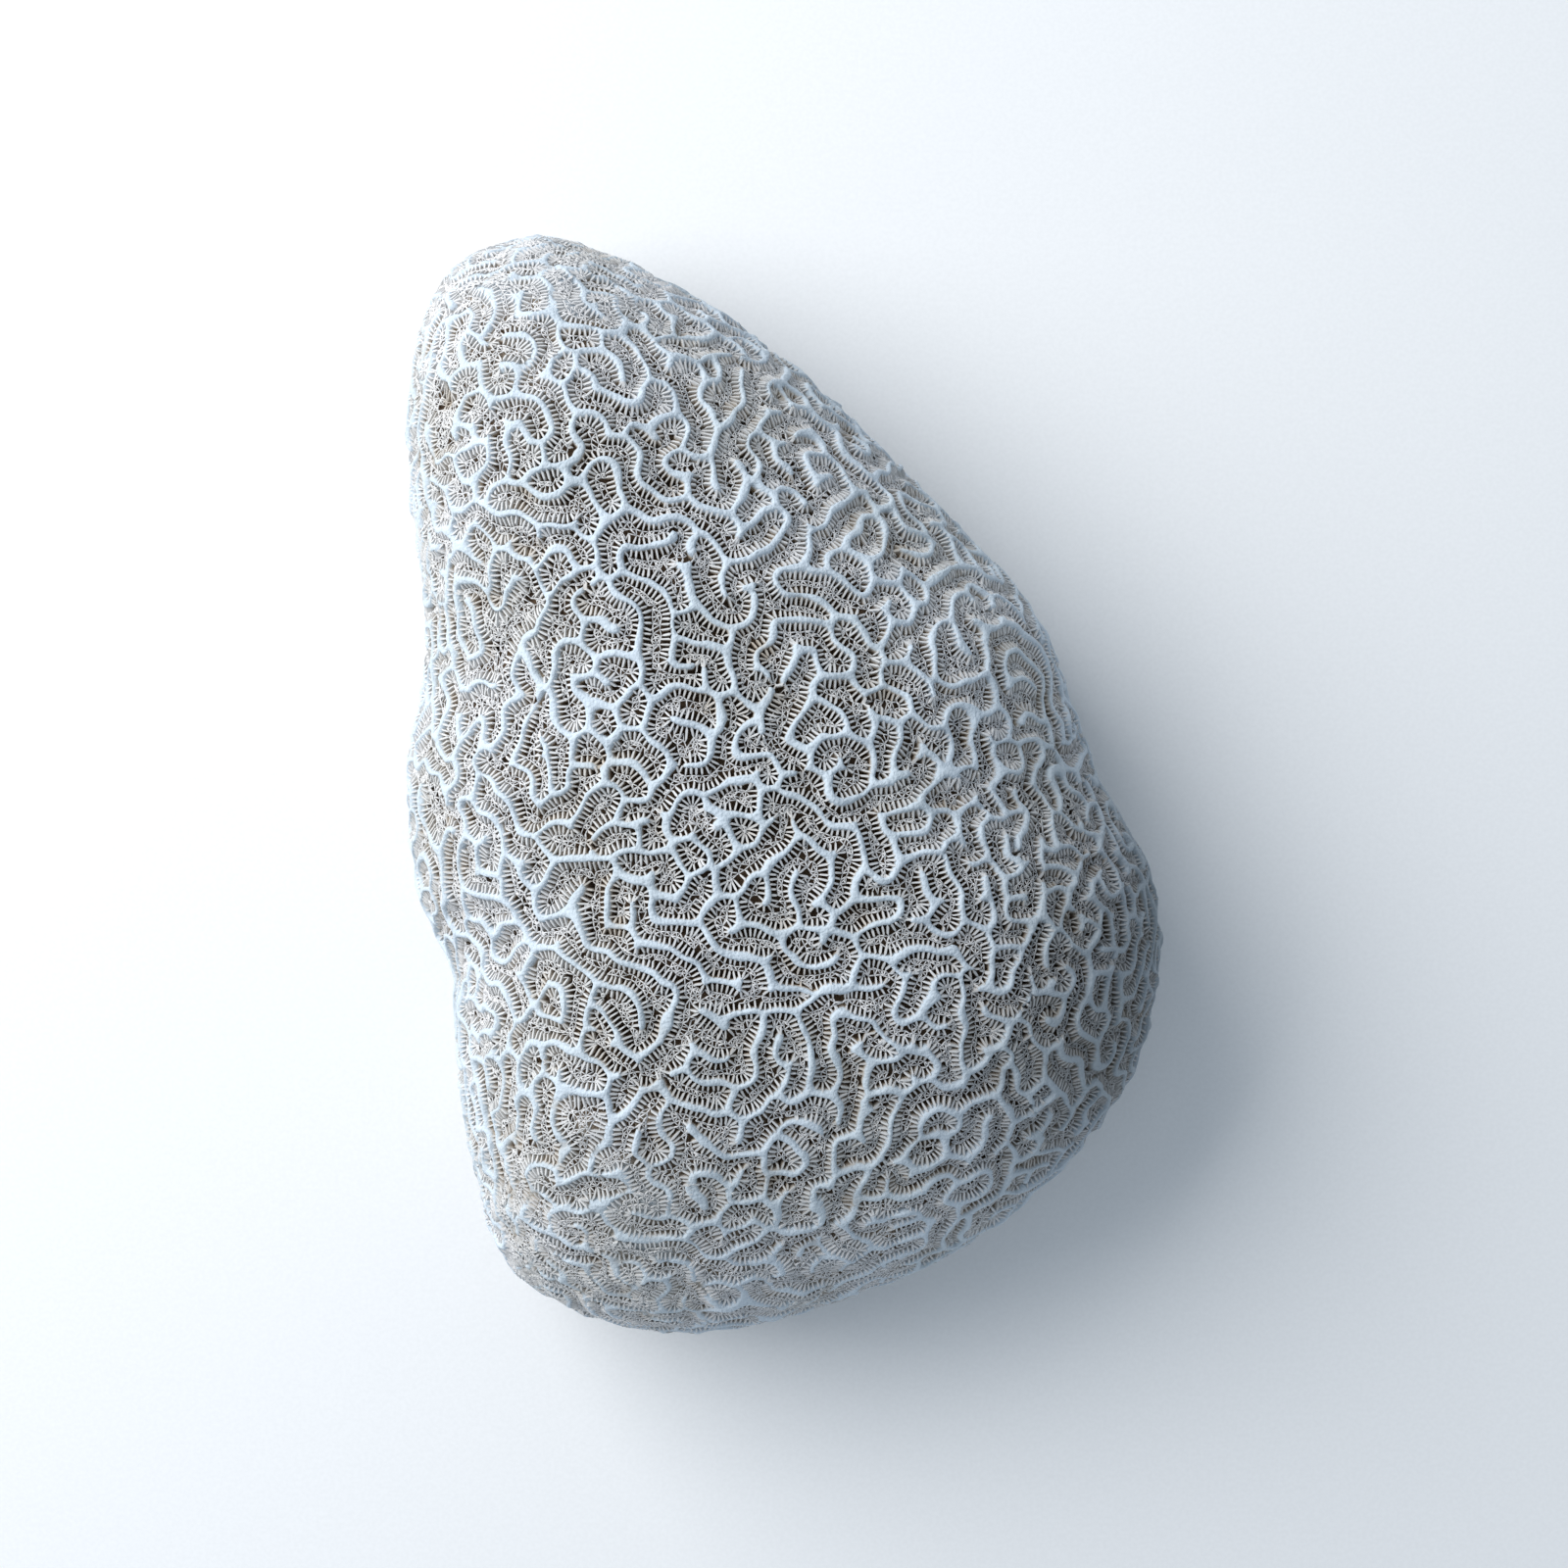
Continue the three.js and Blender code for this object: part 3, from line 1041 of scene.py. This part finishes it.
_, _, knot_faces, knot_sources, _, _ = delaunay_2d_cdt(knots.tolist(), [], [], 0, SAME_KNOT)
knot_faces = np.array([came_from[0] for came_from in knot_sources])[np.array(knot_faces)]
pairs = np.concatenate([knot_faces[:, side_ends] for side_ends in ([0, 1], [1, 2], [2, 0])])
pairs = np.unique(np.sort(pairs, 1), axis=0)
reach = np.linalg.norm(knot_points[pairs[:, 0]] - knot_points[pairs[:, 1]], axis=1)
wanted = (reach > SHORTEST_THREAD) & (reach < LONGEST_THREAD)
wanted &= rng.uniform(size=len(pairs)) < SPARED
wanted &= knot_points[pairs, 2].min(1) > CUT_CLEARANCE
pairs = pairs[wanted]
print(len(pairs), "threads")

# %% Threads between the knots
THREAD_RADIUS = 0.12
RADIUS_RANGE = (0.7, 1.3)
# a thread goes on into its knots by this share of its radius
OVERLAP = 0.3


def thread_prisms(pairs, radius):
    """Three-sided rods between pairs of knots: at both ends a ring of three points, which are the
    cosine of their angle to the left and the sine of it over the rod, times the radius."""
    a, b = knot_points[pairs[:, 0]], knot_points[pairs[:, 1]]
    above = unit(knot_up[pairs].sum(1))
    heading = unit(b - a)
    left = unit(np.cross(above, heading))
    over = np.cross(heading, left)
    angles = (np.arange(3) / 3 * TURN + np.pi / 2)[None, :, None]
    ring = radius * (np.cos(angles) * left[:, None] + np.sin(angles) * over[:, None])
    overlap = OVERLAP * radius[:, :, 0] * heading
    points = np.concatenate([(a - overlap)[:, None] + ring, (b + overlap)[:, None] + ring], 1)
    points[..., 2] = np.maximum(points[..., 2], SAW_GAP)
    return points


ROD_FACES = np.array([(0, 2, 1), (3, 4, 5)] + [
    half for j, n in ((0, 1), (1, 2), (2, 0)) for half in ((j, n, n + 3), (j, n + 3, j + 3))])
columella = []
for offset, name in enumerate(["columella_first", "columella_second", "columella_third"]):
    some = pairs[offset::3]
    radius = THREAD_RADIUS * rng.uniform(*RADIUS_RANGE, (len(some), 1, 1))
    points, faces = join_copies(thread_prisms(some, radius), ROD_FACES)
    depth = knot_depth[some][:, [0, 0, 0, 1, 1, 1]].ravel() / VALLEY_DEPTH
    columella.append(make_piece(name, points, faces, {"depth": depth}))
    print(name, len(some), "threads,", len(faces), "faces")

# %% [markdown]
# ## Finishes
#
# The whole skeleton is one chalky material, but it doesn't look the same all over. The crests are
# bleached to a cool white, and the septa and the columella stay a little warmer. The columella's
# white is also made lighter, partly as painted light against the shade deep in the valleys. Going
# down, every piece turns tan and then dark brown: partly a real stain, partly painted shade in the
# recesses. Broad patches are dusty, and the shoulder lobe is darkened with painted shade, as if it
# were turned away from the light. A picture wrapped round the mesh would give that, but it would
# show no detail close up. So the colours are worked out from the depth that each point carries and
# from noise that is fixed to the object. A small class lets the node maths be written as plain
# expressions.

# %% Shader maths as expressions
class Wire:
    """A value that varies over a surface. Arithmetic on it adds Math nodes to its material, and
    node() adds any other node: its settings and stops come first, then its sockets' values."""

    def __init__(self, tree, socket=None):
        self.tree = tree
        self.socket = socket

    def node(self, kind, settings=None, sockets=None, output=0):
        made = self.tree.nodes.new(kind)
        for name, value in (settings or {}).items():
            if name == "stops":
                ramp = made.color_ramp.elements
                for stop in value[len(ramp):]:
                    ramp.new(stop[0])
                for element, (place_along, shade) in zip(ramp, value):
                    element.position = place_along
                    element.color = shade
            else:
                setattr(made, name, value)
        for name, value in (sockets or {}).items():
            if isinstance(value, Wire):
                self.tree.links.new(value.socket, made.inputs[name])
            else:
                made.inputs[name].default_value = value
        return Wire(self.tree, made.outputs[output] if made.outputs else None)

    def maths(self, operation, first, second=0.0):
        """A Math node on one or two values."""
        return self.node("ShaderNodeMath", {"operation": operation}, {0: first, 1: second})

    def __add__(self, other):
        return self.maths("ADD", self, other)

    def __sub__(self, other):
        return self.maths("SUBTRACT", self, other)

    def __rsub__(self, other):
        return self.maths("SUBTRACT", other, self)

    def __mul__(self, other):
        return self.maths("MULTIPLY", self, other)

    __radd__ = __add__
    __rmul__ = __mul__

    def between(self, low, high):
        """0 below low, 1 above high, and smooth between."""
        return self.node("ShaderNodeMapRange", {"interpolation_type": "SMOOTHSTEP"},
                         {"Value": self, "From Min": low, "From Max": high})

    def mix(self, first, second):
        """First colour where this value is 0 and the second where it is 1."""
        return self.node("ShaderNodeMix", {"data_type": "RGBA"},
                         {0: self, 6: first, 7: second}, output=2)


# %% Noise fixed to the object
def shade(red, green, blue):
    return (red, green, blue, 1.0)


def noise(bench, size, detail=2.0, stretch=None):
    """Noise with features of one size in millimetres, on the object's own coordinates."""
    spot = stretch or bench.node("ShaderNodeTexCoord", output="Object")
    return bench.node("ShaderNodeTexNoise", None,
                      {"Vector": spot, "Scale": 1 / (size * MM), "Detail": detail})


SHEEN_LEVEL = 0.25


def finish(name):
    """New material with a bench to build on, and a function that closes it with its shader."""
    material = bpy.data.materials.new(name)
    material.use_nodes = True
    material.node_tree.nodes.clear()
    bench = Wire(material.node_tree)

    def close(base, roughness, relief=None, relief_depth=0.0):
        sockets = {"Base Color": base, "Roughness": roughness, "Specular IOR Level": SHEEN_LEVEL}
        if relief:
            sockets["Normal"] = bench.node("ShaderNodeBump", None, {
                "Strength": 1.0, "Distance": relief_depth * MM, "Height": relief})
        surface = bench.node("ShaderNodeBsdfPrincipled", None, sockets)
        bench.node("ShaderNodeOutputMaterial", None, {"Surface": surface})
        return material

    return bench, close


# %% Chalky colours
CREST_WHITE = shade(0.60, 0.675, 0.745)
PLATE_WHITE = shade(0.69, 0.685, 0.685)
# the columella's white is lighter than the plates': partly its own colour, partly painted light that
# offsets the shade deep in the valleys
THREAD_WHITE_AND_LIGHT = shade(0.78, 0.775, 0.78)
# with depth the colour turns tan and then dark brown: partly a real stain, partly painted shade in
# the valleys, slots and plate feet
TAN_STAIN_AND_SHADE = shade(0.46, 0.37, 0.27)
FLOOR_BROWN_AND_SHADE = shade(0.16, 0.105, 0.065)
TAN_AT = 0.45
# noises: sizes in millimetres, and the band of each that counts
PATCH_SIZE = 16.0
PATCH_BAND = (0.35, 0.65)
BLOTCH_SIZE = 1.6
GRAIN_SIZE = 0.5
GRAIN_BAND = (0.35, 0.75)
# how far patches and blotches shift the turn from white to brown and painted shade
PATCH_SHIFT = 0.10
BLOTCH_SHIFT = 0.16
# dust darkens the top colour, and blue most; how much of it the grain and the patches bring
DUST_RED, DUST_GREEN, DUST_BLUE = 0.87, 0.87, 0.84
DUST_BY_GRAIN = 0.30
DUST_BY_PATCH = 0.45
# the painted shade of the shoulder lobe, which is turned away from the light; its middle and reach
# are in metres
LOBE_SHADE_PLACE = (0.054, -0.028, 0.035)
LOBE_SHADE_REACH = (0.008, 0.052)
LOBE_SHADE = 0.44
LOBE_SHADE_DARK = shade(0.0, 0.005, 0.01)
SMOOTHEST = 0.82
ROUGHENED = 0.12


# %% Chalky skeleton
def skeleton_finish(name, top, shallow, deep, grain_depth=0.0):
    """Goes from a top colour through tan to a dark floor brown as the depth mark rises from shallow
    to
    deep: partly a real tan stain, partly painted shade that darkens the recesses. Broad patches and
    blotches shift how soon it turns, grain and patches dust it, and the painted shade of the shoulder
    lobe fades out with the distance from its middle. On plates and threads, which are finer than any
    grain, the blotches do the dusting, and there is no relief."""
    bench, close = finish(name)
    depth = bench.node("ShaderNodeAttribute", {"attribute_name": "depth"}, output="Fac")
    patch = noise(bench, PATCH_SIZE, 0.0).between(*PATCH_BAND)
    blotch = noise(bench, BLOTCH_SIZE, 2.0)
    grain = noise(bench, GRAIN_SIZE, 1.0) if grain_depth else blotch
    # the deeper a point lies, the darker it is: partly a real tan stain, partly painted shade in the
    # recesses
    shifted = depth + PATCH_SHIFT * (patch - 0.5) + BLOTCH_SHIFT * (blotch - 0.5)
    stain_and_shade = shifted.between(shallow, deep)
    base = stain_and_shade.node("ShaderNodeValToRGB", {"stops": [
        (0.0, top), (TAN_AT, TAN_STAIN_AND_SHADE), (1.0, FLOOR_BROWN_AND_SHADE)]}, {"Fac": stain_and_shade})
    chalk = grain.between(*GRAIN_BAND)
    dusty = shade(DUST_RED * top[0], DUST_GREEN * top[1], DUST_BLUE * top[2])
    base = ((DUST_BY_GRAIN * chalk + DUST_BY_PATCH * patch) * (1 - stain_and_shade)).mix(base, dusty)
    # painted shade: the shoulder lobe is darkened towards grey, most at its middle, as if the light
    # missed it
    spot = bench.node("ShaderNodeTexCoord", output="Object")
    away = bench.node("ShaderNodeVectorMath", {"operation": "DISTANCE"},
                      {0: spot, 1: LOBE_SHADE_PLACE}, "Value")
    base = (LOBE_SHADE * (1 - away.between(*LOBE_SHADE_REACH))).mix(base, LOBE_SHADE_DARK)
    relief = grain if grain_depth else None
    return close(base, SMOOTHEST + ROUGHENED * chalk, relief, grain_depth)


# %% Finishes of walls, septa and columella
# depth marks between which each piece turns from its top colour to floor brown and painted shade
WALL_TURN = (0.12, 0.72)
SEPTUM_TURN = (0.15, 0.82)
COLUMELLA_TURN = (0.42, 1.0)
WALL_GRAIN_DEPTH = 0.22

bleached = skeleton_finish("bleached wall", CREST_WHITE, *WALL_TURN, WALL_GRAIN_DEPTH)
walls.data.materials.append(bleached)
for piece in septa:
    piece.data.materials.append(skeleton_finish("septum", PLATE_WHITE, *SEPTUM_TURN))
for piece in columella:
    piece.data.materials.append(skeleton_finish("columella", THREAD_WHITE_AND_LIGHT, *COLUMELLA_TURN))
print(len(bpy.data.materials), "finishes")

# %% [markdown]
# ## The sawn underside
#
# A sawn colony shows how it grew: corallites fan out from the middle as pale and dark streaks, and
# faint rings cross them, one pair for each year. The cut face is flat, so this is all colour and a
# shallow bump. The streaks are noise that is stretched along the radius, and the rings are a sine
# of the radius that a slow noise bends.

# %% Sawn finish
RING_SPACING = 5.0
RING_BEND_SIZE = 12.0
RING_BEND = 7.0
STREAKS_AROUND = 70.0
STREAK_LENGTH = 9.0
STREAK_BAND = (0.38, 0.66)
PORE_SIZE = 0.7
PORE_BAND = (0.55, 0.62)
SAWN_PALE = shade(0.64, 0.62, 0.57)
SAWN_DARK = shade(0.38, 0.34, 0.28)
# how dull the sawn face is anywhere, and how much streaks, rings and pores add
DULL = 0.18
DULL_STREAK = 0.55
DULL_RING = 0.14
DULL_PORE = 0.45
SAWN_ROUGHNESS = 0.9
SAW_MARKS = 0.12


def sawn_finish():
    """Mixes a pale and a dark colour by how dull the face is, which also sets its relief."""
    bench, close = finish("sawn coral")
    spot = bench.node("ShaderNodeTexCoord", output="Object")
    x = bench.node("ShaderNodeSeparateXYZ", None, {0: spot}, output="X")
    y = bench.node("ShaderNodeSeparateXYZ", None, {0: spot}, output="Y")
    radius = bench.maths("SQRT", x * x + y * y)
    around = bench.maths("ARCTAN2", y, x)
    fan = bench.node("ShaderNodeCombineXYZ", None, {
        "X": around * (STREAKS_AROUND / TURN * MM), "Y": radius * (1 / STREAK_LENGTH)})
    streak = noise(bench, 1.0, 3.0, fan).between(*STREAK_BAND)
    bend = noise(bench, RING_BEND_SIZE)
    ring = bench.maths("SINE", radius * (TURN / (RING_SPACING * MM)) + RING_BEND * bend)
    pores = noise(bench, PORE_SIZE, 2.0).between(*PORE_BAND)
    dull = DULL_STREAK * streak + DULL_RING * ring + DULL + DULL_PORE * pores
    return close(dull.mix(SAWN_PALE, SAWN_DARK), SAWN_ROUGHNESS, 1 - dull, SAW_MARKS)


walls.data.materials.append(sawn_finish())

# %% [markdown]
# ## Handing over to the frame
#
# A coral has no moving parts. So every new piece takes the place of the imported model's one node and
# rides on its only body.

# %% Riding and replacing
pieces = [walls, *septa, *columella]
for piece in pieces:
    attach(piece, "root")
    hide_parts("coral")
print("faces in all:", sum(len(piece.data.polygons) for piece in pieces))

# %% [markdown]
# ## Floor, light and camera
#
# The coral lies on pale paper, a hair's breadth below the saw cut so that the two don't coincide.
# One big soft light stands low at the left, so the walls throw short soft shadows and the right
# side falls away into shade, and a pale sky fills the shadows. The camera looks straight down from
# about half a metre.

# %% Floor
FLOOR_SIZE = 6.0
PAPER_GAP = 1e-4
PAPER_WHITE = shade(0.94, 0.94, 0.94)
PAPER_GREY = shade(0.91, 0.91, 0.91)
FIBRE_SIZE = 0.6
FIBRE_BAND = (0.2, 0.8)
PAPER_ROUGHNESS = 0.9

paper_bench, close_paper = finish("floor paper")
fibre = noise(paper_bench, FIBRE_SIZE, 1.0).between(*FIBRE_BAND)
paper = close_paper(fibre.mix(PAPER_WHITE, PAPER_GREY), PAPER_ROUGHNESS)
corner = FLOOR_SIZE / 2
floor_mesh = bpy.data.meshes.new("floor")
floor_corners = [(-corner, -corner), (corner, -corner), (corner, corner), (-corner, corner)]
floor_mesh.from_pydata([(x, y, -PAPER_GAP) for x, y in floor_corners], [], [(0, 1, 2, 3)])
floor_mesh.materials.append(paper)
floor = bpy.data.objects.new("floor", floor_mesh)
bpy.context.collection.objects.link(floor)

# %% Light
KEY_PLACE = Vector((-0.64, 0.37, 0.52))
KEY_SIZE = 0.9
KEY_POWER = 11.3
SKY_COLOUR = shade(0.75, 0.87, 1.0)
SKY_STRENGTH = 0.46

key_light = bpy.data.lights.new("soft key", "AREA")
key_light.size = KEY_SIZE
key_light.energy = KEY_POWER
key = bpy.data.objects.new("soft key", key_light)
key.location = KEY_PLACE
key.rotation_euler = (-KEY_PLACE).to_track_quat("-Z", "Y").to_euler()
bpy.context.collection.objects.link(key)

world = bpy.data.worlds.new("pale sky")
world.use_nodes = True
sky = world.node_tree.nodes["Background"].inputs
sky["Color"].default_value = SKY_COLOUR
sky["Strength"].default_value = SKY_STRENGTH
bpy.context.scene.world = world
bpy.context.scene.view_settings.view_transform = "Standard"

# %% Camera
EYE_HEIGHT = 0.518
VIEW_WIDTH = 0.2446
SENSOR_WIDTH = 36.0
FOCUS_DISTANCE = 0.5

lens = bpy.data.cameras.new("overhead")
lens.sensor_width = SENSOR_WIDTH
lens.lens = SENSOR_WIDTH * FOCUS_DISTANCE / VIEW_WIDTH
camera = bpy.data.objects.new("overhead", lens)
camera.location = (0, 0, EYE_HEIGHT)
bpy.context.collection.objects.link(camera)
bpy.context.scene.camera = camera
